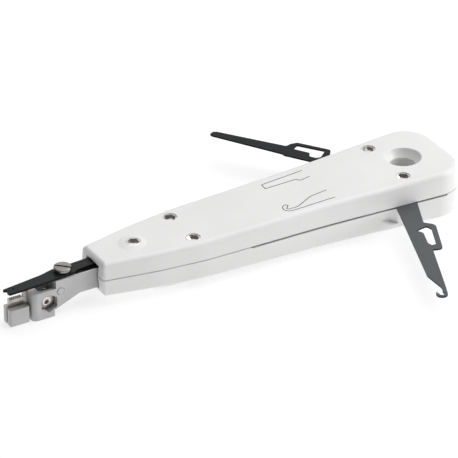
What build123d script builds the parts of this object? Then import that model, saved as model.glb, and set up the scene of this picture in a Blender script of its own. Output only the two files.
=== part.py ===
from build123d import *
import math
import os

# Punch down tool with a fold-out wire hook and a fold-out release blade.
# +X runs towards the insertion tip, +Y towards the wire hook, +Z out of the face with the hex sockets.
# The origin is on the axis of the hanging hole, in the parting plane of the two shells. Millimetres.

# Handle outline in the parting plane: X, half width and corner radius
TAIL_X = -16.4
MOUTH_X = 122.2
MOUTH_CORNER = (MOUTH_X, 7.6, 1.2)
FRONT_BEND = (104.0, 11.2, 60.0)
SHOULDER = (86.0, 13.4, 60.0)
WAIST = (40.0, 14.65, 400.0)
TAIL_CORNER = (TAIL_X, 18.5, 11.0)

# Handle section
DRAFT = 5.0
TOP_TAIL_Z = 8.1
TOP_MOUTH_Z = 5.85
BOTTOM_TAIL_Z = -10.15
BOTTOM_MOUTH_Z = -7.0
TOP_EDGE_R = 1.6
BOTTOM_EDGE_R = 2.0
WALL = 2.0
BLANK_H = 12.0
OVERSHOOT = 5.0
GAP = 0.02
SEAM_H = 0.38
SEAM_DEPTH = 0.8

# Hanging hole
HANG_R = 4.5
HANG_BOSS_R = 8.2
DISH_R = 6.6
DISH_Z = 9.75
DISH_RIM_R = 0.4
UNDERSIDE_LIP = 1.6

# Fasteners: sleeve nuts from the top face, screws from the underside
SHELL_POINTS = [(106.5, 0.0), (88.1, -7.7), (88.1, 7.7)]
HOOK_PIVOT = (7.15, 10.95)
BLADE_PIVOT = (7.15, -10.95)
SHELL_TURNS = [29.0, -10.0, 21.0]
PIVOT_TURNS = [21.0, -1.0]
NUT_HEAD_R = 2.45
NUT_HEAD_H = 1.7
NUT_BARREL_R = 2.0
NUT_BORE_R = 1.25
NUT_BARREL_END_Z = -3.2
NUT_SINK = 0.2
SOCKET_FLATS = 3.7
SOCKET_DEPTH = 0.85
BOSS_R = 3.4
PIVOT_BOSS_R = 4.2
DOME_R = 4.9
DOME_H = 0.5
SCREW_R = 1.2
SCREW_HEAD_R = 2.4
SCREW_HEAD_H = 1.4
SCREW_SINK = 0.5
SCREW_TIP_Z = 2.0

# Fold-out tools
TOOL_TOP_Z = -0.1
TOOL_T = 0.55
SLOT_Z = -0.8
SLOT_LIP = 0.8
SLOT_RELIEF_Z = -1.9
PIVOT_BOSS_Z = -1.1
SLOT_FRONT_X = 69.0
SLOT_REAR_X = -7.0
PIVOT_CLEAR = 0.05
HOOK_OPEN = 70.0
BLADE_OPEN = 54.0
WASHER_T = 0.25
WASHER_R = 3.6
SCOOP = (13.4, 16.5, -0.8)
SCOOP_LEAN = 15.0
SCOOP_SWEEP = 20.0
SCOOP_SPREAD = 40.0
SCOOP_REACH = 6.3
SCOOP_BACK = (7.0, 25.0, 11.8, 16.0)
SPINE_NEAR_Y = 5.8
SPINE_FAR_Y = -4.4
SPINE_T = 1.2

# Nose and its channel
NOSE_HALF = 3.5
NOSE_TOP_Z = 2.45
NOSE_BOTTOM_Z = -4.5
NOSE_REAR_X = 90.0
CHANNEL_X0 = 101.5
CHANNEL_X1 = 129.6
CHANNEL_HALF = 2.7
CHANNEL_FLOOR_Z = -3.4
STEP_X = 137.5
BLOCK_TOP_Z = -0.35
BLOCK_BOTTOM_Z = -10.6
BLOCK_FRONT_X = 146.2
BLOCK_FRONT_R = 2.0
CHIN_X = 128.7
CHIN_END_X = 138.2
CHIN_Z = -8.3
HOLDER_FAR_Y = -1.95
HOLDER_NEAR_Y = 0.05
HOLDER_X = 134.2
WELL_X0 = 137.2
WELL_X1 = 143.3
WELL_HALF = 2.4
WELL_FLOOR_Z = -3.0
MOUTH_HOLE_HALF = 4.1
MOUTH_HOLE_TOP = 3.85
MOUTH_HOLE_BOTTOM = -5.0
GUIDE_CLEAR = 0.1
STROKE = 5.0

# Cutter lever
LEVER_X = 133.1
LEVER_Z = 2.6
LEVER_T = 0.85
LEVER_OPEN = 4.5
LEVER_CLOSED = -3.5
LEVER_TIP = 22.3
LEVER_REAR = 16.6
CAM_ARM = 15.0
CAM_PIN_R = 0.7
CAM_PIN_END_Z = 0.2
SLEEVE_R = 1.9
SLEEVE_STAND = 0.1
LEVER_WASHER_R = 2.45
LEVER_WASHER_T = 0.6
LEVER_SCREW_R = 1.5
LEVER_THREAD_R = 1.15
LEVER_HEAD_R = 3.0
LEVER_HEAD_T = 1.0

# Tip and fixed blade
TIP_X = 153.95
TIP_REAR_X = 147.0
TIP_HALF = 2.6
TIP_TOP_Z = -4.5
TIP_BOTTOM_Z = -10.45
TIP_SLOT = 0.8
TIP_SLOT_REAR_X = 148.4
TONGUE_TOP_Z = -0.5
TONGUE_BOTTOM_Z = -9.5
TONGUE_NEAR_Y = -1.05
SHEAR_FRONT_X = 153.2
SHEAR_TOP_Z = -1.3
SHEAR_HEEL_X = 147.95
BAR_LOW_Z = -3.1
BAR_REACH = 0.5
BAR_NOTCHES = 6
CLAMP = (140.1, -5.3)
CLAMP_NUT_FLATS = 5.5
CLAMP_POCKET_FLATS = 5.9
CLAMP_POCKET_Y = 0.45
CLAMP_NUT_T = 1.15
CROSS_PIN = (135.8, -1.8)
CROSS_PIN_R = 1.2
CROSS_PIN_PROUD = 0.2
CLAMP_SCREW_R = 1.5
CLAMP_HEAD_R = 2.6
CLAMP_HEAD_T = 1.2
CLAMP_HEX = 2.0
NUT_CHAMFER = 0.4
CLAMP_HOLE_R = 1.55

# Main spring and its rod
ROD_R = 1.5
ROD_Z = -1.0
ROD_REAR_X = 67.0
PLATE_X = 72.0
PLATE_T = 1.5
SPRING_R = 2.75
SPRING_WIRE_R = 0.45
SPRING_TURNS = 7
CLIP_R = 3.0
CLIP_GROOVE_R = 1.15

# Click plunger
PLUNGER_X = 94.0
PLUNGER_R = 1.2
PLUNGER_Z = -1.0
RAMP_RISE = 1.0
PLUNGER_TAIL_Y = 6.2
PLUNGER_END_Y = 9.0
PLUNGER_COIL_R = 0.9
PLUNGER_WIRE_R = 0.18
PLUNGER_TURNS = 5


def slab(x0, x1, y0, y1, z0, z1):
    """A box given by its low and high corners."""
    box = Box(x1 - x0, y1 - y0, z1 - z0)
    return Pos((x0 + x1) / 2, (y0 + y1) / 2, (z0 + z1) / 2) * box


def rod_z(x, y, z0, z1, radius):
    """A round bar along Z."""
    return Pos(x, y, (z0 + z1) / 2) * Cylinder(radius, z1 - z0)


def rod_y(x, z, y0, y1, radius):
    """A round bar along Y."""
    return Pos(x, (y0 + y1) / 2, z) * Rot(90, 0, 0) * Cylinder(radius, y1 - y0)


def rod_x(y, z, x0, x1, radius):
    """A round bar along X."""
    return Pos((x0 + x1) / 2, y, z) * Rot(0, 90, 0) * Cylinder(radius, x1 - x0)


def hexagon(flats, turn=0.0):
    """A hexagon by its width across flats, with a corner at the given angle."""
    return RegularPolygon(flats / 2, 6, major_radius=False, rotation=turn)


def flat_plate(points, z0, z1):
    """A closed outline in plan, made into a plate."""
    face = make_face(Polyline(*points, close=True))
    return Pos(0, 0, z0) * extrude(face, z1 - z0)


def side_plate(points, y0, y1):
    """A closed outline in the XZ plane, made into a plate between two Y values."""
    wire = Polyline(*[(x, y0, z) for x, z in points], close=True)
    return extrude(make_face(wire), y1 - y0, dir=(0, 1, 0))


def rounded(points, radii):
    """A closed outline in plan with each corner rounded by its own radius, 0 for sharp."""
    face = make_face(Polyline(*points, close=True))
    for (x, y), radius in zip(points, radii):
        if radius > 0:
            corner = face.vertices().sort_by_distance((x, y, 0))[0]
            face = fillet(corner, radius)
    return face


def top_z(x):
    """Height of the top face."""
    share = (x - TAIL_X) / (MOUTH_X - TAIL_X)
    return TOP_TAIL_Z + share * (TOP_MOUTH_Z - TOP_TAIL_Z)


def bottom_z(x):
    """Height of the underside."""
    share = (x - TAIL_X) / (MOUTH_X - TAIL_X)
    return BOTTOM_TAIL_Z + share * (BOTTOM_MOUTH_Z - BOTTOM_TAIL_Z)


def handle_plan(inset=0.0):
    """The handle's outline in plan, pulled in by inset."""
    corners = [MOUTH_CORNER, FRONT_BEND, SHOULDER, WAIST, TAIL_CORNER]
    near = [(min(max(x, TAIL_X + inset), MOUTH_X - inset), half - inset) for x, half, _ in corners]
    radii = [max(radius - inset, 0) for _, _, radius in corners]
    far = [(x, -half) for x, half in reversed(near)]
    return rounded(near + far, radii + radii[::-1])


def above(inset):
    """The space between the parting plane and the top face lowered by inset."""
    rear, front = TAIL_X - OVERSHOOT, MOUTH_X + OVERSHOOT
    corners = [(rear, 0), (front, 0), (front, top_z(front) - inset), (rear, top_z(rear) - inset)]
    return side_plate(corners, -30, 30)


def below(inset):
    """The space between the parting plane and the underside raised by inset."""
    rear, front = TAIL_X - OVERSHOOT, MOUTH_X + OVERSHOOT
    corners = [(rear, 0), (front, 0), (front, bottom_z(front) + inset), (rear, bottom_z(rear) + inset)]
    return side_plate(corners, -30, 30)


def soften(solid, radius, side):
    """Round the long outer edge of a shell, at its top or its underside."""
    rim = [edge for edge in solid.edges() if edge.center().Z * side > 5.0]
    return fillet(rim, radius)


def seam():
    """The narrow step along the parting line, just inside the outline."""
    ring = handle_plan() - handle_plan(SEAM_DEPTH)
    return Pos(0, 0, -SEAM_H) * extrude(ring, SEAM_H)


def shell_points():
    """Every fastener's place, with the turn of its socket and the radius of its boss."""
    rows = [(x, y, turn, BOSS_R) for (x, y), turn in zip(SHELL_POINTS, SHELL_TURNS)]
    pivots = (HOOK_PIVOT, BLADE_PIVOT)
    return rows + [(x, y, turn, PIVOT_BOSS_R) for (x, y), turn in zip(pivots, PIVOT_TURNS)]


def seat_z(x, y):
    """Height of the top of a sleeve nut's head."""
    raised = DOME_H if (x, y) == SHELL_POINTS[0] else 0.0
    return top_z(x) + raised - NUT_SINK


def mouth_opening():
    """The opening in the front wall."""
    return slab(119.0, MOUTH_X + 5, -MOUTH_HOLE_HALF, MOUTH_HOLE_HALF, MOUTH_HOLE_BOTTOM, MOUTH_HOLE_TOP)


def guide_space():
    """The running space of the nose inside the handle."""
    half = NOSE_HALF + GUIDE_CLEAR
    rear = NOSE_REAR_X - STROKE - 1.0
    low = NOSE_BOTTOM_Z - GUIDE_CLEAR
    nose = slab(rear, MOUTH_X + 1, -half, half, low, MOUTH_HOLE_TOP)
    side = SPRING_R + 1.0
    spring = slab(ROD_REAR_X - STROKE - 3, rear + 1, -side, side, ROD_Z - 4.0, ROD_Z + 4.0)
    return nose + spring


def plate_groove():
    """The groove that holds the spring plate."""
    return slab(PLATE_X, PLATE_X + PLATE_T, -5.5, 5.5, ROD_Z - 4.6, ROD_Z + 4.6)


def chamber_ribs(z0, z1):
    """Ribs either side of the spring and the nose that guide them."""
    half = NOSE_HALF + GUIDE_CLEAR
    ribs = Part()
    for side in (-1, 1):
        lane = sorted((side * half, side * (half + 1.6)))
        ribs += slab(PLATE_X - 1.5, 86.0, lane[0], lane[1], z0, z1)
        ribs += slab(92.0, 119.0, lane[0], lane[1], z0, z1)
    return ribs


def spine_ribs(z0, z1):
    """Two long ribs between the pockets of the fold-out tools."""
    near = slab(14.0, 66.0, SPINE_NEAR_Y - SPINE_T, SPINE_NEAR_Y, z0, z1)
    return near + slab(14.0, 66.0, SPINE_FAR_Y, SPINE_FAR_Y + SPINE_T, z0, z1)


def plunger_tunnel():
    """The cross bore of the click plunger and its spring."""
    return rod_y(PLUNGER_X, PLUNGER_Z, 0.0, 9.3, PLUNGER_R + 0.06)


def upper_shell():
    """Top half of the handle."""
    outer = soften(extrude(handle_plan(), BLANK_H, taper=DRAFT) & above(0), TOP_EDGE_R, 1)
    dome_x, dome_y = SHELL_POINTS[0]
    ball_r = (DOME_R**2 + DOME_H**2) / (2 * DOME_H)
    dome_top = top_z(dome_x) + DOME_H
    ball = Pos(dome_x, dome_y, dome_top - ball_r) * Sphere(ball_r)
    outer += ball & rod_z(dome_x, dome_y, 3.5, 12, DOME_R + 1.5)
    cavity = extrude(handle_plan(WALL), BLANK_H, taper=DRAFT) & above(WALL)
    inside = chamber_ribs(0, 12) + spine_ribs(0, 12)
    inside += rod_z(0, 0, 0, 12, HANG_BOSS_R)
    inside += slab(PLUNGER_X - 2.2, PLUNGER_X + 2.2, NOSE_HALF, 12, 0, 12)
    for x, y, _, boss_r in shell_points():
        inside += rod_z(x, y, 0, 12, boss_r)
    shell = outer - (cavity - inside)
    shell -= guide_space() - rod_z(*SHELL_POINTS[0], NOSE_TOP_Z + GUIDE_CLEAR, 12, NUT_BARREL_R + 0.5)
    shell -= mouth_opening()
    shell -= plate_groove()
    shell -= plunger_tunnel()
    shell -= rod_z(0, 0, -1, 12, HANG_R)
    shell -= Pos(0, 0, DISH_Z) * Sphere(DISH_R)
    rim_y = math.sqrt(DISH_R**2 - (DISH_Z - top_z(0)) ** 2)
    rim = shell.edges().sort_by_distance((0, rim_y, top_z(0)))[0]
    shell = fillet(rim, DISH_RIM_R)
    for x, y, _, _ in shell_points():
        seat = seat_z(x, y) - NUT_HEAD_H
        shell -= rod_z(x, y, -1, seat + 1, NUT_BARREL_R + GAP)
        shell -= rod_z(x, y, seat, 14, NUT_HEAD_R + 0.06)
    return shell


def slot_relief():
    """The thinning of the wall behind the lips of the slots."""
    ring = handle_plan(SLOT_LIP) - handle_plan(WALL + 0.5)
    return Pos(0, 0, SLOT_RELIEF_Z) * extrude(ring, 1 - SLOT_RELIEF_Z)


def finger_scoop():
    """Tapered hollow in the side wall under the hook's root."""
    wide = SCOOP_REACH * math.tan(math.radians(SCOOP_SPREAD))
    cone = Rot(SCOOP_LEAN, -SCOOP_SWEEP, 0) * Pos(0, 0, -SCOOP_REACH / 2) * Cone(wide, 0.05, SCOOP_REACH)
    return Pos(*SCOOP) * (cone & Sphere(SCOOP_REACH))


def lower_shell():
    """Bottom half of the handle, with the two slots that the fold-out tools swing through."""
    blank = mirror(extrude(handle_plan(), BLANK_H, taper=DRAFT), about=Plane.XY)
    outer = soften(blank & below(0), BOTTOM_EDGE_R, -1)
    hollow = mirror(extrude(handle_plan(WALL), BLANK_H, taper=DRAFT), about=Plane.XY)
    cavity = hollow & below(WALL)
    inside = chamber_ribs(-12, PIVOT_BOSS_Z) + spine_ribs(-12, 0)
    inside += rod_z(0, 0, -12, 0, HANG_BOSS_R)
    inside += slab(PLUNGER_X - 2.2, PLUNGER_X + 2.2, NOSE_HALF, 12, -12, 0)
    for x, y, _, boss_r in shell_points():
        height = PIVOT_BOSS_Z if y in (HOOK_PIVOT[1], BLADE_PIVOT[1]) else 0
        inside += rod_z(x, y, -12, height, boss_r)
    inside += slab(*SCOOP_BACK, -12, PIVOT_BOSS_Z)
    shell = outer - (cavity - inside)
    shell -= guide_space() - rod_z(*SHELL_POINTS[0], -12, 0, NUT_BARREL_R + 0.3)
    shell -= mouth_opening()
    shell -= plate_groove()
    shell -= plunger_tunnel()
    shell -= rod_z(0, 0, -12, 1, HANG_R)
    rim = shell.edges().sort_by_distance((0, HANG_R, bottom_z(0)))[0]
    shell = fillet(rim, UNDERSIDE_LIP)
    for side in (-1, 1):
        lane_y = sorted((side * 9.0, side * 25.0))
        shell -= slab(SLOT_REAR_X, SLOT_FRONT_X, lane_y[0], lane_y[1], SLOT_Z, 1)
        shell -= slot_relief() & slab(SLOT_REAR_X, SLOT_FRONT_X, lane_y[0], lane_y[1], SLOT_RELIEF_Z, 1)
    shell -= seam()
    shell -= finger_scoop()
    for x, y, _, _ in shell_points():
        shell -= rod_z(x, y, NUT_BARREL_END_Z - 0.1, 1, NUT_BARREL_R + GAP)
        shell -= rod_z(x, y, -14, 1, SCREW_R + 0.1)
        shell -= rod_z(x, y, -14, bottom_z(x) + SCREW_HEAD_H + SCREW_SINK, SCREW_HEAD_R + 0.1)
    return shell


def sleeve_nut(x, y, turn):
    """A sleeve nut with a round head, a hex socket and a plain barrel."""
    head_top = seat_z(x, y)
    seat = head_top - NUT_HEAD_H
    head = fillet(rod_z(x, y, seat, head_top, NUT_HEAD_R).edges().group_by(Axis.Z)[-1], 0.2)
    body = head + rod_z(x, y, NUT_BARREL_END_Z, seat + 0.5, NUT_BARREL_R)
    socket = Pos(x, y, head_top - SOCKET_DEPTH) * extrude(hexagon(SOCKET_FLATS, turn), 3)
    return body - socket - rod_z(x, y, NUT_BARREL_END_Z - 1, SCREW_TIP_Z + 0.3, NUT_BORE_R)


def underside_screw(x, y):
    """A slotted screw from the underside into a sleeve nut."""
    face_z = bottom_z(x) + SCREW_SINK
    head = rod_z(x, y, face_z, face_z + SCREW_HEAD_H, SCREW_HEAD_R)
    head = fillet(head.edges().group_by(Axis.Z)[0], 0.5)
    screw = head + rod_z(x, y, face_z + 0.5, SCREW_TIP_Z, SCREW_R)
    return screw - slab(x - 3, x + 3, y - 0.35, y + 0.35, face_z - 1, face_z + 0.6)


def open_out(plate, pivot, angle):
    """Turn a tool, drawn folded with its pivot at the origin, out to its open place."""
    return Pos(pivot[0], pivot[1], 0) * Rot(0, 0, angle) * plate


def tool_plate(face):
    """A tool's blank with its pivot hole."""
    plate = Pos(0, 0, TOOL_TOP_Z - TOOL_T) * extrude(face, TOOL_T)
    return plate - rod_z(0, 0, -3, 3, NUT_BARREL_R + PIVOT_CLEAR)


def wire_hook():
    """Steel hook that pulls wires out of their contacts. It has a finger loop on its outer edge."""
    outline = [
        (-3.6, -3.7),
        (52.5, -4.0),
        (60.3, -1.15),
        (61.0, 0.35),
        (36.7, 1.8),
        (36.5, 5.3),
        (20.8, 6.6),
        (18.8, 2.9),
        (5.5, 3.95),
        (-3.6, 4.0),
    ]
    face = rounded(outline, [3.2, 1.0, 0, 0, 0.3, 1.6, 2.2, 0.6, 3.0, 3.2])
    curl_x, curl_y = (64.3, -1.9)
    curl = Pos(curl_x, curl_y) * (Circle(1.95) - Circle(0.9))
    curl -= Pos(curl_x - 1.6, curl_y - 0.35) * Rectangle(2.4, 1.9)
    neck_line = [(59.8, -1.3), (62.6, -0.8), (curl_x, curl_y + 0.95), (curl_x, curl_y + 1.95), (59.8, 0.42)]
    neck = make_face(Polyline(*neck_line, close=True))
    loop = [(23.4, -0.75), (25.5, 1.25), (32.2, 1.2), (33.9, 2.2), (33.2, 3.8), (23.2, 4.6), (21.3, 3.3)]
    hole = rounded(loop, [0.3, 0.4, 0.6, 0.6, 0.6, 1.0, 0.8])
    return open_out(tool_plate(face + curl + neck - hole), HOOK_PIVOT, HOOK_OPEN)


def release_blade():
    """Slim steel blade that levers modules off their rail. Its finger loop is on the outer edge."""
    outline = [
        (-3.6, -3.4),
        (15.5, -3.3),
        (16.6, -7.2),
        (29.3, -7.4),
        (31.2, -5.6),
        (32.0, -3.6),
        (58.2, -3.5),
        (59.6, -2.9),
        (60.0, -1.0),
        (58.9, -0.35),
        (31.2, 1.8),
        (30.2, 2.5),
        (8.4, 3.4),
        (-3.6, 3.4),
    ]
    face = rounded(outline, [3.2, 0.6, 1.4, 1.4, 0.8, 0.8, 0.5, 0.4, 0.4, 0.3, 0.3, 0.3, 4.0, 3.2])
    loop = [(18.2, -5.8), (28.8, -5.7), (29.0, -2.7), (22.6, -2.3), (21.8, 0.0), (19.2, 0.1), (17.9, -1.1)]
    hole = rounded(loop, [0.6, 0.6, 0.5, 0.4, 0.8, 0.8, 0.8])
    return open_out(tool_plate(face - hole), BLADE_PIVOT, -BLADE_OPEN)


def pivot_washers():
    """Two thin spring washers under the fold-out tools."""
    low = TOOL_TOP_Z - TOOL_T - WASHER_T
    rings = []
    for x, y in (HOOK_PIVOT, BLADE_PIVOT):
        ring = rod_z(x, y, low, low + WASHER_T - GAP, WASHER_R)
        rings.append(ring - rod_z(x, y, low - 1, low + 1, NUT_BARREL_R + PIVOT_CLEAR))
    return Compound(children=rings)


def nose_body():
    """Die-cast nose: a channel that slides in the handle, with a deep front block."""
    profile = [
        (NOSE_REAR_X, NOSE_TOP_Z),
        (STEP_X, NOSE_TOP_Z),
        (STEP_X, BLOCK_TOP_Z),
        (BLOCK_FRONT_X, BLOCK_TOP_Z),
        (BLOCK_FRONT_X, BLOCK_BOTTOM_Z),
        (CHIN_END_X, BLOCK_BOTTOM_Z),
        (CHIN_END_X, CHIN_Z),
        (CHIN_X, NOSE_BOTTOM_Z),
        (NOSE_REAR_X, NOSE_BOTTOM_Z),
    ]
    nose = side_plate(profile, -NOSE_HALF, NOSE_HALF)
    front = nose.edges().filter_by(Axis.Z).filter_by(lambda e: abs(e.center().X - BLOCK_FRONT_X) < 0.01)
    nose = fillet(front, BLOCK_FRONT_R)
    chin = nose.edges().filter_by(Axis.Y)
    bend = [e for e in chin if abs(e.center().X - CHIN_X) < 0.01]
    nose = fillet(bend, 4.0)
    nose -= slab(CHANNEL_X0, CHANNEL_X1, -CHANNEL_HALF, CHANNEL_HALF, CHANNEL_FLOOR_Z, 10)
    nose -= slab(WELL_X0, WELL_X1, -WELL_HALF, WELL_HALF, WELL_FLOOR_Z, 10)
    low = TONGUE_BOTTOM_Z - 0.1
    nose -= slab(HOLDER_X, WELL_X0 + 0.5, HOLDER_FAR_Y, HOLDER_NEAR_Y, low, TONGUE_TOP_Z + 0.1)
    nose -= slab(WELL_X0, 160, HOLDER_FAR_Y, HOLDER_NEAR_Y, low, 10)
    boss_x = SHELL_POINTS[0][0]
    nose -= slab(boss_x - 2.6, boss_x + STROKE + 2.6, -2.5, 2.5, NOSE_BOTTOM_Z - 1, 0)
    nose -= rod_z(LEVER_X, 0, NOSE_TOP_Z - 2.8, NOSE_TOP_Z + 2, 1.2)
    nose -= rod_y(CROSS_PIN[0], CROSS_PIN[1], -5, 5, CROSS_PIN_R + GAP)
    nose -= rod_y(CROSS_PIN[0], CROSS_PIN[1], NOSE_HALF - 0.3, 5, CROSS_PIN_R + 0.15)
    nose -= rod_y(CLAMP[0], CLAMP[1], -5, 5, CLAMP_HOLE_R)
    pocket = Pos(CLAMP[0], CLAMP_POCKET_Y, CLAMP[1]) * Rot(-90, 0, 0)
    nose -= pocket * extrude(hexagon(CLAMP_POCKET_FLATS, 90), 4)
    nose -= rod_y(CLAMP[0], CLAMP[1], -5, -NOSE_HALF + CLAMP_HEAD_T, CLAMP_HEAD_R + 0.2)
    nose -= rod_x(0, ROD_Z, NOSE_REAR_X - 1, NOSE_REAR_X + 7.0, ROD_R + GAP)
    ramp_start = PLUNGER_X + 0.3
    notch = [
        (PLUNGER_X - 1.8, 5.0),
        (PLUNGER_X - 1.8, NOSE_HALF - RAMP_RISE),
        (ramp_start, NOSE_HALF - RAMP_RISE),
        (ramp_start + STROKE, NOSE_HALF),
        (ramp_start + STROKE, 5.0),
    ]
    nose -= flat_plate(notch, PLUNGER_Z - 1.5, PLUNGER_Z + 1.5)
    return nose


def insertion_tip():
    """Slotted tip that presses the wire into its contact, with a tongue clamped in the nose."""
    head = slab(TIP_REAR_X, TIP_X, -TIP_HALF, TIP_HALF, TIP_BOTTOM_Z, TIP_TOP_Z)
    head = fillet(head.edges().filter_by(Axis.Z), 0.35)
    outline = [
        (HOLDER_X + 0.1, TONGUE_TOP_Z),
        (WELL_X0 + 0.1, TONGUE_TOP_Z),
        (WELL_X0 + 0.1, WELL_FLOOR_Z - 0.1),
        (WELL_X1, WELL_FLOOR_Z - 0.1),
        (WELL_X1, TONGUE_TOP_Z),
        (BLOCK_FRONT_X - 0.3, TONGUE_TOP_Z),
        (TIP_REAR_X + 0.4, TIP_TOP_Z - 0.3),
        (TIP_REAR_X + 0.4, TONGUE_BOTTOM_Z),
        (HOLDER_X + 0.1, TONGUE_BOTTOM_Z),
    ]
    tip = head + side_plate(outline, HOLDER_FAR_Y + GAP, TONGUE_NEAR_Y)
    tip -= slab(TIP_SLOT_REAR_X, TIP_X + 1, -TIP_SLOT / 2, TIP_SLOT / 2, TIP_BOTTOM_Z - 1, TIP_TOP_Z + 1)
    tip -= rod_y(CLAMP[0], CLAMP[1], -3, 3, CLAMP_HOLE_R)
    return tip - rod_y(CROSS_PIN[0], CROSS_PIN[1], -3, 3, CROSS_PIN_R + GAP)


def fixed_blade():
    """Steel shear blade beside the tongue, with a heel under the lever and a notched bar on its face."""
    rear = WELL_X0 + 0.3
    lowest = TIP_TOP_Z + GAP
    edge = [
        (rear, WELL_FLOOR_Z - 0.1),
        (WELL_X1, WELL_FLOOR_Z - 0.1),
        (WELL_X1, TONGUE_TOP_Z),
        (BLOCK_FRONT_X - 0.2, TONGUE_TOP_Z),
        (BLOCK_FRONT_X + 0.3, LEVER_Z - 0.08),
        (SHEAR_HEEL_X - 0.2, LEVER_Z - 0.08),
        (SHEAR_HEEL_X, SHEAR_TOP_Z - 0.9),
        (SHEAR_HEEL_X + 0.5, SHEAR_TOP_Z),
        (SHEAR_FRONT_X, SHEAR_TOP_Z),
        (SHEAR_FRONT_X, lowest),
        (BLOCK_FRONT_X, lowest),
        (BLOCK_FRONT_X, TONGUE_BOTTOM_Z + 0.1),
        (rear, TONGUE_BOTTOM_Z + 0.1),
    ]
    near_y = HOLDER_NEAR_Y - GAP
    plate = side_plate(edge, TONGUE_NEAR_Y + GAP, near_y)
    bar = slab(SHEAR_HEEL_X + 0.7, SHEAR_FRONT_X, near_y - 0.2, near_y + BAR_REACH, BAR_LOW_Z, SHEAR_TOP_Z)
    plate += fillet(bar.edges().filter_by(Axis.X).sort_by(Axis.Y)[-2:], 0.35)
    pitch = (SHEAR_FRONT_X - SHEAR_HEEL_X - 1.0) / BAR_NOTCHES
    for index in range(BAR_NOTCHES):
        x = SHEAR_HEEL_X + 1.2 + index * pitch
        notch = Pos(x, near_y, SHEAR_TOP_Z) * Rot(0, 45, 0) * Box(0.42, 3, 0.42)
        plate -= notch
    return plate - rod_y(CLAMP[0], CLAMP[1], -3, 3, CLAMP_HOLE_R)


def clamp_screw():
    """Cross screw that clamps the tip and the fixed blade in the nose, with a hex hole in its end."""
    x, z = CLAMP
    end_y = CLAMP_POCKET_Y + CLAMP_NUT_T
    head = rod_y(x, z, -NOSE_HALF + 0.1, -NOSE_HALF + CLAMP_HEAD_T - GAP, CLAMP_HEAD_R)
    screw = head + rod_y(x, z, -NOSE_HALF + 1.0, end_y, CLAMP_SCREW_R)
    screw -= slab(x - 3, x + 3, -NOSE_HALF - 1, -NOSE_HALF + 0.6, z - 0.35, z + 0.35)
    socket = Pos(x, end_y - 0.9, z) * Rot(-90, 0, 0)
    return screw - socket * extrude(hexagon(CLAMP_HEX, 90), 2)


def clamp_nut():
    """Hex nut of the clamp screw, chamfered on its outer face."""
    x, z = CLAMP
    seat = CLAMP_POCKET_Y + GAP
    face_y = CLAMP_POCKET_Y + CLAMP_NUT_T
    nut = Pos(x, seat, z) * Rot(-90, 0, 0) * extrude(hexagon(CLAMP_NUT_FLATS, 90), CLAMP_NUT_T)
    crown = rod_y(x, z, seat, face_y - NUT_CHAMFER, 4)
    crown += Pos(x, face_y - NUT_CHAMFER / 2, z) * Rot(-90, 0, 0) * Cone(3.3, 2.45, NUT_CHAMFER)
    return (nut & crown) - rod_y(x, z, seat - 1, seat + 3, CLAMP_SCREW_R + GAP)


def cross_pin():
    """Pin through the nose that locates the tip's tongue."""
    pin = rod_y(CROSS_PIN[0], CROSS_PIN[1], -NOSE_HALF, NOSE_HALF + CROSS_PIN_PROUD, CROSS_PIN_R)
    return fillet(pin.edges().group_by(Axis.Y)[-1], 0.15)


def lever_place(angle=LEVER_OPEN):
    """The lever's pivot, turned by an angle."""
    return Pos(LEVER_X, 0, 0) * Rot(0, 0, angle)


def cutter_lever():
    """Black scissor lever, wide at its pivot and forked at its tip."""
    outline = [
        (-LEVER_REAR, -2.1),
        (-4.5, -2.3),
        (-1.0, -2.9),
        (2.5, -2.7),
        (7.5, -1.8),
        (LEVER_TIP, -1.15),
        (LEVER_TIP + 0.2, -0.8),
        (LEVER_TIP - 0.8, 0.0),
        (LEVER_TIP - 0.3, 0.9),
        (LEVER_TIP - 0.4, 2.3),
        (16.0, 2.7),
        (2.0, 3.0),
        (-2.5, 2.9),
        (-5.0, 2.1),
        (-LEVER_REAR, 2.1),
    ]
    face = rounded(outline, [1.6, 4.0, 2.5, 3.0, 4.0, 0, 0, 0.2, 0, 0.2, 4.0, 3.0, 2.0, 3.0, 1.6])
    lever = Pos(0, 0, LEVER_Z) * extrude(face, LEVER_T)
    lever -= rod_z(0, 0, 0, 9, SLEEVE_R + PIVOT_CLEAR)
    lever -= rod_z(LEVER_TIP - 3.0, 0.2, 0, 9, 0.35)
    lever -= rod_z(-CAM_ARM, 0, 0, 9, CAM_PIN_R)
    return lever_place() * lever


def cam_pin():
    """Pin in the lever's rear end that runs in the cam block's slot."""
    pin = rod_z(-CAM_ARM, 0, CAM_PIN_END_Z, LEVER_Z + LEVER_T - 0.1, CAM_PIN_R)
    return lever_place() * pin


def cam_block():
    """Block fixed around the front fastener, whose slanted slot swings the lever as the nose goes in."""
    block = slab(103.9, 120.4, -2.4, 2.4, 0.05, NOSE_TOP_Z - 0.12)
    steps = 10
    for index in range(steps + 1):
        share = index / steps
        angle = math.radians(LEVER_OPEN + share * (LEVER_CLOSED - LEVER_OPEN))
        x = LEVER_X - share * STROKE - CAM_ARM * math.cos(angle)
        y = -CAM_ARM * math.sin(angle)
        if index > 0:
            run = math.hypot(x - last[0], y - last[1])
            turn = math.degrees(math.atan2(y - last[1], x - last[0]))
            bar = Box(run, 2 * CAM_PIN_R + 0.2, 14)
            block -= Pos((x + last[0]) / 2, (y + last[1]) / 2, 3) * Rot(0, 0, turn) * bar
        block -= rod_z(x, y, -1, 9, CAM_PIN_R + 0.1)
        last = (x, y)
    return block - rod_z(*SHELL_POINTS[0], -1, 9, NUT_BARREL_R + GAP)


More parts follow.
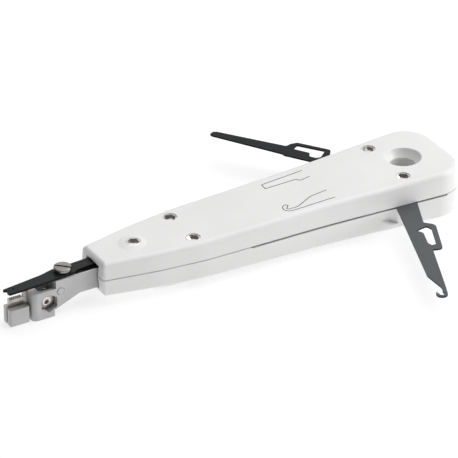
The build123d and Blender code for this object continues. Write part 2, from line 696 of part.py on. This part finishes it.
def lever_sleeve():
    """Sleeve that the lever turns on."""
    ring = rod_z(LEVER_X, 0, NOSE_TOP_Z, LEVER_Z + LEVER_T + SLEEVE_STAND, SLEEVE_R)
    return ring - rod_z(LEVER_X, 0, 0, 9, LEVER_SCREW_R + GAP)


def lever_washer():
    """Washer between the lever and its screw."""
    low = LEVER_Z + LEVER_T + SLEEVE_STAND
    ring = rod_z(LEVER_X, 0, low, low + LEVER_WASHER_T, LEVER_WASHER_R)
    return ring - rod_z(LEVER_X, 0, 0, 9, LEVER_SCREW_R + GAP)


def lever_screw():
    """Slotted cheese-head screw that holds the lever on the nose."""
    seat = LEVER_Z + LEVER_T + SLEEVE_STAND + LEVER_WASHER_T + GAP
    head = rod_z(LEVER_X, 0, seat, seat + LEVER_HEAD_T, LEVER_HEAD_R)
    head = fillet(head.edges().group_by(Axis.Z)[-1], 0.3)
    screw = head + rod_z(LEVER_X, 0, NOSE_TOP_Z, seat + 0.5, LEVER_SCREW_R)
    screw += rod_z(LEVER_X, 0, NOSE_TOP_Z - 2.7, NOSE_TOP_Z + 0.5, LEVER_THREAD_R)
    slot = Rot(0, 0, -45) * Box(8, 0.8, 1.6)
    return screw - Pos(LEVER_X, 0, seat + LEVER_HEAD_T) * slot


def guide_rod():
    """Rod behind the nose that carries the main spring."""
    rod = rod_x(0, ROD_Z, ROD_REAR_X, NOSE_REAR_X + 6.9, ROD_R)
    groove = rod_x(0, ROD_Z, PLATE_X - 1.1, PLATE_X - 0.3, CLIP_R) - rod_x(0, ROD_Z, 0, 200, CLIP_GROOVE_R)
    return rod - groove


def retaining_clip():
    """Clip on the rod that stops the nose at the spring plate."""
    ring = rod_x(0, ROD_Z, PLATE_X - 1.0, PLATE_X - 0.4, CLIP_R)
    ring -= rod_x(0, ROD_Z, 0, 200, CLIP_GROOVE_R + PIVOT_CLEAR)
    return ring - slab(PLATE_X - 3, PLATE_X + 3, -0.9, 0.9, ROD_Z, 9)


def spring_plate():
    """Plate in the handle that the main spring pushes against."""
    plate = slab(PLATE_X + GAP, PLATE_X + PLATE_T - GAP, -5.4, 5.4, ROD_Z - 4.5, ROD_Z + 4.5)
    return plate - rod_x(0, ROD_Z, 0, 200, ROD_R + PIVOT_CLEAR)


def coil(radius, wire_r, length, turns):
    """A compression spring along +Z from the origin."""
    path = Helix(length / turns, length, radius)
    ring = Plane(origin=path @ 0, z_dir=path % 0) * Circle(wire_r)
    return sweep(ring, path=path, is_frenet=True)


def main_spring():
    """Spring that holds the nose forward."""
    x0 = PLATE_X + PLATE_T + SPRING_WIRE_R + 0.1
    x1 = NOSE_REAR_X - SPRING_WIRE_R - 0.1
    spring = coil(SPRING_R - SPRING_WIRE_R, SPRING_WIRE_R, x1 - x0, SPRING_TURNS)
    return Pos(x0, 0, ROD_Z) * Rot(0, 90, 0) * spring


def click_plunger():
    """Round-nosed plunger that the nose's ramp pushes aside, for the click at the end of the stroke."""
    seat = NOSE_HALF - RAMP_RISE + 0.08
    body = rod_y(PLUNGER_X, PLUNGER_Z, seat + PLUNGER_R, PLUNGER_TAIL_Y, PLUNGER_R)
    return body + Pos(PLUNGER_X, seat + PLUNGER_R, PLUNGER_Z) * Sphere(PLUNGER_R)


def plunger_spring():
    """Small spring behind the plunger."""
    y0 = PLUNGER_TAIL_Y + 0.3
    spring = coil(PLUNGER_COIL_R, PLUNGER_WIRE_R, PLUNGER_END_Y - y0, PLUNGER_TURNS)
    return Pos(PLUNGER_X, y0, PLUNGER_Z) * Rot(-90, 0, 0) * spring


def save(shape, name):
    """Write one node."""
    export_step(shape, f"parts/{name}.step")


os.makedirs("parts", exist_ok=True)
nuts = [sleeve_nut(x, y, turn) for x, y, turn, _ in shell_points()]
screws = [underside_screw(x, y) for x, y, _, _ in shell_points()]
save(upper_shell(), "upper_shell")
save(lower_shell(), "lower_shell")
save(Compound(children=nuts[:3]), "shell_sleeve_nuts")
save(Compound(children=nuts[3:]), "pivot_sleeve_nuts")
save(Compound(children=screws), "underside_screws")
save(pivot_washers(), "pivot_washers")
save(wire_hook(), "wire_hook")
save(release_blade(), "release_blade")
save(nose_body(), "nose_body")
save(insertion_tip(), "insertion_tip")
save(fixed_blade(), "fixed_blade")
save(clamp_screw(), "clamp_screw")
save(clamp_nut(), "clamp_nut")
save(cross_pin(), "cross_pin")
save(cutter_lever(), "cutter_lever")
save(cam_pin(), "cam_pin")
save(cam_block(), "cam_block")
save(lever_sleeve(), "lever_sleeve")
save(lever_washer(), "lever_washer")
save(lever_screw(), "lever_screw")
save(guide_rod(), "guide_rod")
save(retaining_clip(), "retaining_clip")
save(spring_plate(), "spring_plate")
save(main_spring(), "main_spring")
save(click_plunger(), "click_plunger")
save(plunger_spring(), "plunger_spring")
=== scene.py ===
import math

import bmesh
import bpy
from mathutils import Matrix, Vector
from mathutils.bvhtree import BVHTree


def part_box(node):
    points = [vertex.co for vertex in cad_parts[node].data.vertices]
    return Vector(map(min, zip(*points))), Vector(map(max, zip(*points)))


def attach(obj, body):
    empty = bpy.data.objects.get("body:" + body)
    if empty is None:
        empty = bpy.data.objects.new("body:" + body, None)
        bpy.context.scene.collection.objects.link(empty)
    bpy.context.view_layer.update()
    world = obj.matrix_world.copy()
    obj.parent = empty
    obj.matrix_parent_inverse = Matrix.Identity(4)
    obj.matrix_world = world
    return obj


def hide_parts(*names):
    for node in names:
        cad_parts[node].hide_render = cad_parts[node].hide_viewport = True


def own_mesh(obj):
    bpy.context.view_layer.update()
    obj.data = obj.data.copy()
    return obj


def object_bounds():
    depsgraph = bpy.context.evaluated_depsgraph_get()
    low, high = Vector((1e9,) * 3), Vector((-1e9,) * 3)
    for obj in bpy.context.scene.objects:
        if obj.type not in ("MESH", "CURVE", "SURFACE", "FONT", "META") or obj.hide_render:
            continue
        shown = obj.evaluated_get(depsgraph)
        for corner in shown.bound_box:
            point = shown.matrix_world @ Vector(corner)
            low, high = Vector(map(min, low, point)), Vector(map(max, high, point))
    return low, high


# Punch down tool on a pale studio floor. Metres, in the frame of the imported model:
# +X to the insertion tip, +Y to the wire hook, +Z out of the face with the hex sockets.

MM = 0.001

# Camera
CAMERA_AZIMUTH = 149.155
CAMERA_ELEVATION = 30.648
CAMERA_ROLL = 0.05
CAMERA_DISTANCE = 1.2
CAMERA_AIM = (0.05606, -0.02269, -0.01563)
CAMERA_LENS = 273.44
CAMERA_NEAR = 0.1
CAMERA_FAR = 20.0
SENSOR_WIDTH = 36.0

# Lights: name, place, size in metres and power in watts. All aim at a point near the tool's middle.
WORLD_STRENGTH = 0.12
LIGHT_TARGET = (0.06, 0.0, 0.0)
SOFTBOXES = (
    ("softbox_top", (-0.3, -0.1, 1.3), 1.6, 16.2),
    ("softbox_back", (-0.6, -1.05, 0.7), 1.1, 3.4),
    ("softbox_front", (1.3, 0.1, 0.25), 0.5, 1.2),
    ("softbox_key", (-1.1, 0.75, 0.6), 0.9, 13.8),
)

# Floor with a painted glow, and the handle's footprint on it, which tapers from the tail to the front
# and where the glow fades out as painted shadow
FLOOR_X = 0.06
FLOOR_SIZE = 6.0
FLOOR_CELLS = 24
FLOOR_DROP = 0.2 * MM
FLOOR_PAINTED_GLOW = 0.68
SHADOW_FOOTPRINT_X = 0.042
SHADOW_FOOTPRINT_HALF_X = 0.060
SHADOW_FOOTPRINT_TAIL_Y = 0.0135
SHADOW_FOOTPRINT_FRONT_Y = 0.0060
SHADOW_FOOTPRINT_FADE = (0.65, 1.0)

# Rolled grain of sheet steel: the share of the noise's scale that is left along the grain
GRAIN_STRETCH = 0.06

# Real bevels on the sharp-edged metal nodes
EDGE_BEVELS = {
    "nose_body": 0.15 * MM,
    "insertion_tip": 0.12 * MM,
    "fixed_blade": 0.05 * MM,
    "cutter_lever": 0.07 * MM,
    "wire_hook": 0.08 * MM,
    "release_blade": 0.08 * MM,
}
BEVEL_SEGMENTS = 2
BEVEL_ANGLE = 40
WELD_DISTANCE = 0.001 * MM

# Printed marks on the top face. Each stroke has its points in plan, in millimetres, and the
# steps between two points: one for a straight stroke, more for a curved one.
MARK_WIDTH = 0.30 * MM
MARK_RISE = 0.03 * MM
MARK_SINK = 0.05 * MM
MARK_RAY_Z = 50 * MM
BLADE_MARK = [
    ([(34.4, -10.5), (51.1, -9.5)], 1),
    ([(51.1, -9.5), (51.4, -6.6)], 1),
    ([(51.4, -6.6), (39.9, -6.5)], 1),
    ([(39.9, -6.5), (39.2, -6.4), (38.7, -5.5), (38.3, -5.2), (37.8, -5.2)], 4),
    ([(37.8, -5.2), (34.2, -5.7)], 1),
]
HOOK_SHANK = [(34.3, 5.1), (39.3, 5.6), (42.0, 6.2), (45.7, 8.1), (48.6, 9.2), (50.9, 9.1)]
HOOK_BEND = [(50.6, 6.9), (51.3, 6.2), (52.6, 6.7), (53.2, 8.0), (52.9, 9.6), (51.2, 10.5), (49.0, 10.6)]
HOOK_THROAT = [(50.6, 6.9), (51.3, 7.6), (52.0, 8.3), (51.8, 9.0), (50.9, 9.1)]
HOOK_BACK = [(49.0, 10.6), (34.2, 10.6)]
HOOK_MARK = [(HOOK_SHANK, 6), (HOOK_BEND, 6), (HOOK_THROAT, 6), (HOOK_BACK, 1)]

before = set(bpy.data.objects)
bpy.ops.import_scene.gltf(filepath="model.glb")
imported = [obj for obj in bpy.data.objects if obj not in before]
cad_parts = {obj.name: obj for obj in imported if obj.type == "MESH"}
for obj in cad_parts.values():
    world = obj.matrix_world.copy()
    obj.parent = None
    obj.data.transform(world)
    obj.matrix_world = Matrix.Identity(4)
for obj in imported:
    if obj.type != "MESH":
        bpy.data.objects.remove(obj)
cad_low, cad_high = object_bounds()


# ---------- shader pieces ----------


def new_surface(name):
    """A node material, its tree and its shader."""
    material = bpy.data.materials.new(name)
    material.use_nodes = True
    tree = material.node_tree
    return material, tree, tree.nodes["Principled BSDF"]


def add_node(tree, kind, inputs=None, **settings):
    """A node with its settings and unlinked inputs filled in."""
    node = tree.nodes.new(kind)
    for key, value in settings.items():
        setattr(node, key, value)
    for key, value in (inputs or {}).items():
        node.inputs[key].default_value = value
    return node


def calculate(tree, operation, *values):
    """The result of a calculation. Each value is a number or another node's output."""
    node = add_node(tree, "ShaderNodeMath", operation=operation)
    for socket, value in zip(node.inputs, values):
        if isinstance(value, float):
            socket.default_value = value
        else:
            tree.links.new(value, socket)
    return node.outputs["Value"]


def place_noise(tree, scale, detail=3.0, stretch=(1.0, 1.0, 1.0)):
    """Noise fixed to the piece, with its grain stretched along an axis where stretch is below 1."""
    coordinates = add_node(tree, "ShaderNodeTexCoord")
    mapping = add_node(tree, "ShaderNodeMapping", {"Scale": stretch})
    noise = add_node(tree, "ShaderNodeTexNoise", {"Scale": scale, "Detail": detail})
    tree.links.new(coordinates.outputs["Object"], mapping.inputs["Vector"])
    tree.links.new(mapping.outputs["Vector"], noise.inputs["Vector"])
    return noise.outputs["Fac"]


def spread(tree, source, low, high, start=0.35, end=0.65):
    """Values from start to end brought into the range low to high."""
    limits = {"From Min": start, "From Max": end, "To Min": low, "To Max": high}
    node = add_node(tree, "ShaderNodeMapRange", limits)
    tree.links.new(source, node.inputs["Value"])
    return node.outputs["Result"]


def blend_colours(tree, factor, first, second):
    """Two colours mixed by a texture. Each is a colour or another node's output."""
    node = add_node(tree, "ShaderNodeMix", data_type="RGBA")
    tree.links.new(factor, node.inputs["Factor"])
    for socket, colour in (("A", first), ("B", second)):
        target = [s for s in node.inputs if s.name == socket and s.type == "RGBA"][0]
        if isinstance(colour, tuple):
            target.default_value = (*colour, 1.0)
        else:
            tree.links.new(colour, target)
    return [s for s in node.outputs if s.type == "RGBA"][0]


def add_relief(tree, shader, height, distance):
    """Fine relief on a surface."""
    bump = add_node(tree, "ShaderNodeBump", {"Strength": 1.0, "Distance": distance})
    tree.links.new(height, bump.inputs["Height"])
    tree.links.new(bump.outputs["Normal"], shader.inputs["Normal"])


def lathe_rings(tree, centre):
    """The fine rings that a lathe tool leaves round a centre."""
    coordinates = add_node(tree, "ShaderNodeTexCoord")
    placing = {"Location": (-centre[0], -centre[1], 0.0), "Scale": (1, 1, 0)}
    offset = add_node(tree, "ShaderNodeMapping", placing)
    wave = {"Scale": 900.0, "Distortion": 1.5, "Detail": 2.0}
    rings = add_node(tree, "ShaderNodeTexWave", wave, wave_type="RINGS", rings_direction="Z")
    tree.links.new(coordinates.outputs["Object"], offset.inputs["Vector"])
    tree.links.new(offset.outputs["Vector"], rings.inputs["Vector"])
    return rings.outputs["Fac"]


# ---------- materials ----------


def moulded_plastic(name, light, dark, roughness):
    """Satin moulded plastic: faint clouds of tone, and a fine spark-eroded texture."""
    material, tree, shader = new_surface(name)
    cloud = spread(tree, place_noise(tree, scale=45.0), 0.0, 1.0)
    texture = place_noise(tree, scale=2600.0, detail=2.0)
    sheen = spread(tree, texture, roughness - 0.05, roughness + 0.06)
    tree.links.new(blend_colours(tree, cloud, light, dark), shader.inputs["Base Color"])
    tree.links.new(sheen, shader.inputs["Roughness"])
    add_relief(tree, shader, texture, distance=1.2e-6)
    shader.inputs["IOR"].default_value = 1.53
    return material


def cast_paint(name, light, dark, roughness):
    """Painted zinc casting: soft pebbled skin under an even coat."""
    material, tree, shader = new_surface(name)
    cloud = spread(tree, place_noise(tree, scale=160.0), 0.0, 1.0)
    pebble = place_noise(tree, scale=1500.0, detail=4.0)
    sheen = spread(tree, pebble, roughness - 0.07, roughness + 0.08)
    tree.links.new(blend_colours(tree, cloud, light, dark), shader.inputs["Base Color"])
    tree.links.new(sheen, shader.inputs["Roughness"])
    add_relief(tree, shader, pebble, distance=4e-6)
    shader.inputs["Metallic"].default_value = 0.15
    shader.inputs["Coat Weight"].default_value = 0.15
    shader.inputs["Coat Roughness"].default_value = 0.35
    return material


def rolled_steel(name, face, streak, edge, roughness, metallic, grain_axis, gloss):
    """Sheet steel with a rolled grain along one axis, and its side faces painted darker as painted
    shade.
    """
    material, tree, shader = new_surface(name)
    stretch = tuple(GRAIN_STRETCH if axis == grain_axis else 1.0 for axis in "XYZ")
    grain = place_noise(tree, scale=2200.0, detail=4.0, stretch=stretch)
    cloud = place_noise(tree, scale=90.0)
    # Painted shade: faces whose normals lie across the sheet, its side faces, take the darker edge
    # colour
    geometry = add_node(tree, "ShaderNodeNewGeometry")
    split = add_node(tree, "ShaderNodeSeparateXYZ")
    tree.links.new(geometry.outputs["True Normal"], split.inputs["Vector"])
    upright = calculate(tree, "ABSOLUTE", split.outputs["Z"])
    on_face = spread(tree, upright, 0.0, 1.0, start=0.3, end=0.8)
    tone = blend_colours(tree, spread(tree, grain, 0.0, 1.0), face, streak)
    tone = blend_colours(tree, spread(tree, cloud, 0.0, 0.5), tone, streak)
    sheen = spread(tree, grain, roughness - 0.08, roughness + 0.1)
    tree.links.new(blend_colours(tree, on_face, edge, tone), shader.inputs["Base Color"])
    tree.links.new(sheen, shader.inputs["Roughness"])
    add_relief(tree, shader, grain, distance=1.5e-6)
    shader.inputs["Metallic"].default_value = metallic
    shader.inputs["IOR"].default_value = 1.33
    shader.inputs["Specular IOR Level"].default_value = gloss
    return material


def machined_metal(name, light, dark, roughness, centre=None):
    """Plated metal. With a centre, its flat ends carry the rings of a lathe tool."""
    material, tree, shader = new_surface(name)
    fine = place_noise(tree, scale=900.0, detail=2.0)
    cloud = spread(tree, place_noise(tree, scale=300.0), 0.0, 1.0)
    sheen = spread(tree, fine, roughness - 0.06, roughness + 0.1)
    tree.links.new(blend_colours(tree, cloud, light, dark), shader.inputs["Base Color"])
    tree.links.new(sheen, shader.inputs["Roughness"])
    height = fine if centre is None else lathe_rings(tree, centre)
    add_relief(tree, shader, height, distance=1e-6)
    shader.inputs["Metallic"].default_value = 1.0
    return material


def printed_ink(name):
    """Thin dark ink with a little of the plastic's texture in it."""
    material, tree, shader = new_surface(name)
    grain = place_noise(tree, scale=5000.0, detail=2.0)
    shade = spread(tree, grain, 0.0, 1.0)
    tone = blend_colours(tree, shade, (0.012, 0.012, 0.014), (0.05, 0.05, 0.052))
    tree.links.new(tone, shader.inputs["Base Color"])
    tree.links.new(spread(tree, grain, 0.45, 0.65), shader.inputs["Roughness"])
    return material


def coated_finishes():
    """The materials of the plastic and painted nodes."""
    shell = moulded_plastic("shell_white", (0.80, 0.80, 0.795), (0.765, 0.765, 0.76), 0.36)
    black = moulded_plastic("plastic_black", (0.02, 0.02, 0.021), (0.03, 0.03, 0.031), 0.45)
    zinc = cast_paint("nose_grey", (0.50, 0.50, 0.50), (0.45, 0.45, 0.45), 0.42)
    return {
        "upper_shell": shell,
        "lower_shell": shell,
        "cam_block": black,
        "nose_body": zinc,
        "insertion_tip": zinc,
        "cross_pin": zinc,
    }


def sheet_finishes():
    """The materials of the fold-out tools and the lever, which are cut from sheet steel."""
    # Each edge colour is painted shade on the side faces of the sheet
    lever = rolled_steel(
        "lever_black",
        face=(0.012, 0.013, 0.014),
        streak=(0.020, 0.021, 0.023),
        edge=(0.008, 0.008, 0.009),
        roughness=0.34,
        metallic=0.0,
        grain_axis="X",
        gloss=0.2,
    )
    hook = rolled_steel(
        "hook_grey",
        face=(0.072, 0.077, 0.081),
        streak=(0.098, 0.104, 0.108),
        edge=(0.016, 0.017, 0.018),
        roughness=0.42,
        metallic=0.05,
        grain_axis="Y",
        gloss=0.3,
    )
    blade = rolled_steel(
        "blade_grey",
        face=(0.016, 0.017, 0.018),
        streak=(0.026, 0.027, 0.029),
        edge=(0.008, 0.008, 0.009),
        roughness=0.45,
        metallic=0.0,
        grain_axis="X",
        gloss=0.1,
    )
    return {"cutter_lever": lever, "wire_hook": hook, "release_blade": blade}


def bare_finishes():
    """The materials of the bare and plated metal nodes, apart from those in plain nickel."""
    low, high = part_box("lever_screw")
    lever_axis = ((low[0] + high[0]) / 2, (low[1] + high[1]) / 2)
    nut = machined_metal("dull_nickel", (0.42, 0.41, 0.39), (0.34, 0.33, 0.31), 0.25)
    turned = machined_metal(
        "turned_nickel", (0.33, 0.32, 0.31), (0.25, 0.24, 0.23), 0.28, lever_axis
    )
    ground = machined_metal("ground_steel", (0.50, 0.48, 0.45), (0.42, 0.40, 0.37), 0.34)
    wire = machined_metal("spring_wire", (0.42, 0.42, 0.42), (0.34, 0.34, 0.34), 0.3)
    return {
        "clamp_nut": nut,
        "lever_screw": turned,
        "fixed_blade": ground,
        "main_spring": wire,
        "plunger_spring": wire,
        "pivot_washers": wire,
        "retaining_clip": wire,
    }


def paint_nodes():
    """Every CAD node takes its material. Those without one of their own are plain nickel."""
    finishes = {**coated_finishes(), **sheet_finishes(), **bare_finishes()}
    nickel = machined_metal("plated_nickel", (0.80, 0.78, 0.76), (0.72, 0.70, 0.68), 0.16)
    for name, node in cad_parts.items():
        node.data.materials.clear()
        node.data.materials.append(finishes.get(name, nickel))


# ---------- edges ----------


def soften_edges(name, width):
    """A small real bevel on a CAD node's sharp edges."""
    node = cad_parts[name]
    weld = node.modifiers.new("weld", "WELD")
    weld.merge_threshold = WELD_DISTANCE
    bevel = node.modifiers.new("edge", "BEVEL")
    bevel.width = width
    bevel.segments = BEVEL_SEGMENTS
    bevel.limit_method = "ANGLE"
    bevel.angle_limit = math.radians(BEVEL_ANGLE)
    bevel.use_clamp_overlap = True
    bevel.harden_normals = True


# ---------- springs ----------


def compress_with(name):
    """A spring that stands on the handle, as a copy of its node, which is hidden."""
    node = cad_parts[name]
    coil = bpy.data.objects.new(f"{name}_coil", node.data.copy())
    coil.matrix_world = node.matrix_world.copy()
    bpy.context.scene.collection.objects.link(coil)
    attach(coil, "handle")
    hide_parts(name)
    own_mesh(coil)


# ---------- printed marks ----------


def catmull_rom(before, start, end, after, t):
    """The point at t from start to end, on a curve that also minds the points outside them."""
    slope = (end - before) * t
    bend = (2 * before - 5 * start + 4 * end - after) * t**2
    turn = (3 * start - before - 3 * end + after) * t**3
    return 0.5 * (2 * start + slope + bend + turn)


def smooth_path(points, steps):
    """A curve through points in plan, with some steps between each two."""
    ends = [points[0]] + points + [points[-1]]
    path = []
    for span in zip(ends, ends[1:], ends[2:], ends[3:]):
        for index in range(steps):
            path.append(catmull_rom(*span, index / steps))
    return path + [points[-1]]


def stroke_section(mesh, path, index, shell_tree):
    """The four corners of a stroke at one point of its path, set on the top face."""
    before = path[max(index - 1, 0)]
    after = path[min(index + 1, len(path) - 1)]
    along = (after - before).normalized()
    across = Vector((-along.y, along.x)) * MARK_WIDTH / 2
    corners = []
    for side, lift in ((-1, -MARK_SINK), (-1, MARK_RISE), (1, MARK_RISE), (1, -MARK_SINK)):
        spot = path[index] + side * across
        start = Vector((spot.x, spot.y, MARK_RAY_Z))
        hit = shell_tree.ray_cast(start, Vector((0, 0, -1)))[0]
        corners.append(mesh.verts.new((spot.x, spot.y, hit.z + lift)))
    return corners


def add_stroke(mesh, path, shell_tree):
    """One closed stroke along a path."""
    rows = [stroke_section(mesh, path, index, shell_tree) for index in range(len(path))]
    for first, second in zip(rows, rows[1:]):
        for k in range(4):
            mesh.faces.new((first[k], first[(k + 1) % 4], second[(k + 1) % 4], second[k]))
    mesh.faces.new(rows[0][::-1])
    mesh.faces.new(rows[-1])


def printed_line(name, strokes, shell_tree, material):
    """Thin raised strokes on the top face."""
    mesh = bmesh.new()
    for points, steps in strokes:
        plan = [Vector((x * MM, y * MM)) for x, y in points]
        path = smooth_path(plan, steps) if steps > 1 else plan
        add_stroke(mesh, path, shell_tree)
    bmesh.ops.recalc_face_normals(mesh, faces=mesh.faces)
    data = bpy.data.meshes.new(name)
    mesh.to_mesh(data)
    mesh.free()
    data.materials.append(material)
    piece = bpy.data.objects.new(name, data)
    bpy.context.scene.collection.objects.link(piece)
    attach(piece, "handle")


def print_marks():
    """The outlines of the release blade and of the hook, each beside its tool."""
    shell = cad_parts["upper_shell"]
    shell_tree = BVHTree.FromObject(shell, bpy.context.evaluated_depsgraph_get())
    ink = printed_ink("mark_ink")
    printed_line("mark_blade", BLADE_MARK, shell_tree, ink)
    printed_line("mark_hook", HOOK_MARK, shell_tree, ink)


# ---------- floor ----------


def painted_floor_glow(tree):
    """Painted light: the floor's glow, which fades out as painted shadow under the handle where little
    light reaches.
    """
    coordinates = add_node(tree, "ShaderNodeTexCoord")
    split = add_node(tree, "ShaderNodeSeparateXYZ")
    tree.links.new(coordinates.outputs["Object"], split.inputs["Vector"])
    along = calculate(tree, "SUBTRACT", split.outputs["X"], SHADOW_FOOTPRINT_X - FLOOR_X)
    half_width = spread(
        tree, along, SHADOW_FOOTPRINT_TAIL_Y, SHADOW_FOOTPRINT_FRONT_Y, -SHADOW_FOOTPRINT_HALF_X, SHADOW_FOOTPRINT_HALF_X
    )
    away_x = calculate(tree, "ABSOLUTE", along)
    away_y = calculate(tree, "ABSOLUTE", split.outputs["Y"])
    share_x = calculate(tree, "DIVIDE", away_x, SHADOW_FOOTPRINT_HALF_X)
    share_y = calculate(tree, "DIVIDE", away_y, half_width)
    outside = calculate(tree, "MAXIMUM", share_x, share_y)
    return spread(tree, outside, 0.0, FLOOR_PAINTED_GLOW, *SHADOW_FOOTPRINT_FADE)


def floor_paint():
    """Pale matt floor with a faint cloud of tone, and a painted glow that fades to painted shadow under
    the handle.
    """
    material, tree, shader = new_surface("floor_white")
    cloud = spread(tree, place_noise(tree, scale=3.0), 0.0, 1.0)
    tone = blend_colours(tree, cloud, (0.37, 0.37, 0.37), (0.35, 0.35, 0.35))
    tree.links.new(tone, shader.inputs["Base Color"])
    shader.inputs["Roughness"].default_value = 0.8
    # Painted light: the floor glows, and the glow fades to painted shadow under the handle
    shader.inputs["Emission Color"].default_value = (1.0, 1.0, 1.0, 1.0)
    tree.links.new(painted_floor_glow(tree), shader.inputs["Emission Strength"])
    return material


def make_floor():
    """Pale floor just under the tool."""
    mesh = bmesh.new()
    bmesh.ops.create_grid(
        mesh, x_segments=FLOOR_CELLS, y_segments=FLOOR_CELLS, size=FLOOR_SIZE / 2
    )
    data = bpy.data.meshes.new("studio_floor")
    mesh.to_mesh(data)
    mesh.free()
    floor = bpy.data.objects.new("studio_floor", data)
    floor.location = (FLOOR_X, 0.0, cad_low.z - FLOOR_DROP)
    bpy.context.scene.collection.objects.link(floor)
    data.materials.append(floor_paint())


# ---------- lights and camera ----------


def add_softbox(name, place, size, power):
    """A square area light aimed at the light target."""
    light = bpy.data.lights.new(name, "AREA")
    light.shape = "SQUARE"
    light.size = size
    light.energy = power
    lamp = bpy.data.objects.new(name, light)
    lamp.location = place
    lamp.rotation_mode = "QUATERNION"
    lamp.rotation_quaternion = (Vector(LIGHT_TARGET) - Vector(place)).to_track_quat("-Z", "Y")
    bpy.context.scene.collection.objects.link(lamp)


def light_studio():
    """Dim white surroundings, and softboxes above, beside, in front of and behind the tool."""
    world = bpy.data.worlds.new("studio")
    bpy.context.scene.world = world
    world.use_nodes = True
    background = world.node_tree.nodes["Background"]
    background.inputs["Color"].default_value = (1.0, 1.0, 1.0, 1.0)
    background.inputs["Strength"].default_value = WORLD_STRENGTH
    for name, place, size, power in SOFTBOXES:
        add_softbox(name, place, size, power)
    bpy.context.scene.view_settings.view_transform = "Standard"


def camera_axes():
    """The camera's right, up and backward directions."""
    azimuth = math.radians(CAMERA_AZIMUTH)
    elevation = math.radians(CAMERA_ELEVATION)
    roll = math.radians(CAMERA_ROLL)
    level = math.cos(elevation)
    back = Vector((math.sin(azimuth) * level, -math.cos(azimuth) * level, math.sin(elevation)))
    right = Vector((math.cos(azimuth), math.sin(azimuth), 0.0))
    up = back.cross(right)
    turned_right = math.cos(roll) * right + math.sin(roll) * up
    turned_up = math.cos(roll) * up - math.sin(roll) * right
    return turned_right, turned_up, back


def make_camera():
    """The camera at the photograph's viewing angle."""
    data = bpy.data.cameras.new("camera")
    data.lens = CAMERA_LENS
    data.sensor_width = SENSOR_WIDTH
    data.clip_start = CAMERA_NEAR
    data.clip_end = CAMERA_FAR
    camera = bpy.data.objects.new("camera", data)
    right, up, back = camera_axes()
    rotation = Matrix((right, up, back)).transposed()
    place = Vector(CAMERA_AIM) + CAMERA_DISTANCE * back
    camera.matrix_world = Matrix.Translation(place) @ rotation.to_4x4()
    bpy.context.scene.collection.objects.link(camera)
    bpy.context.scene.camera = camera


paint_nodes()
for node_name, bevel_width in EDGE_BEVELS.items():
    soften_edges(node_name, bevel_width)
compress_with("main_spring")
compress_with("plunger_spring")
print_marks()
make_floor()
light_studio()
make_camera()
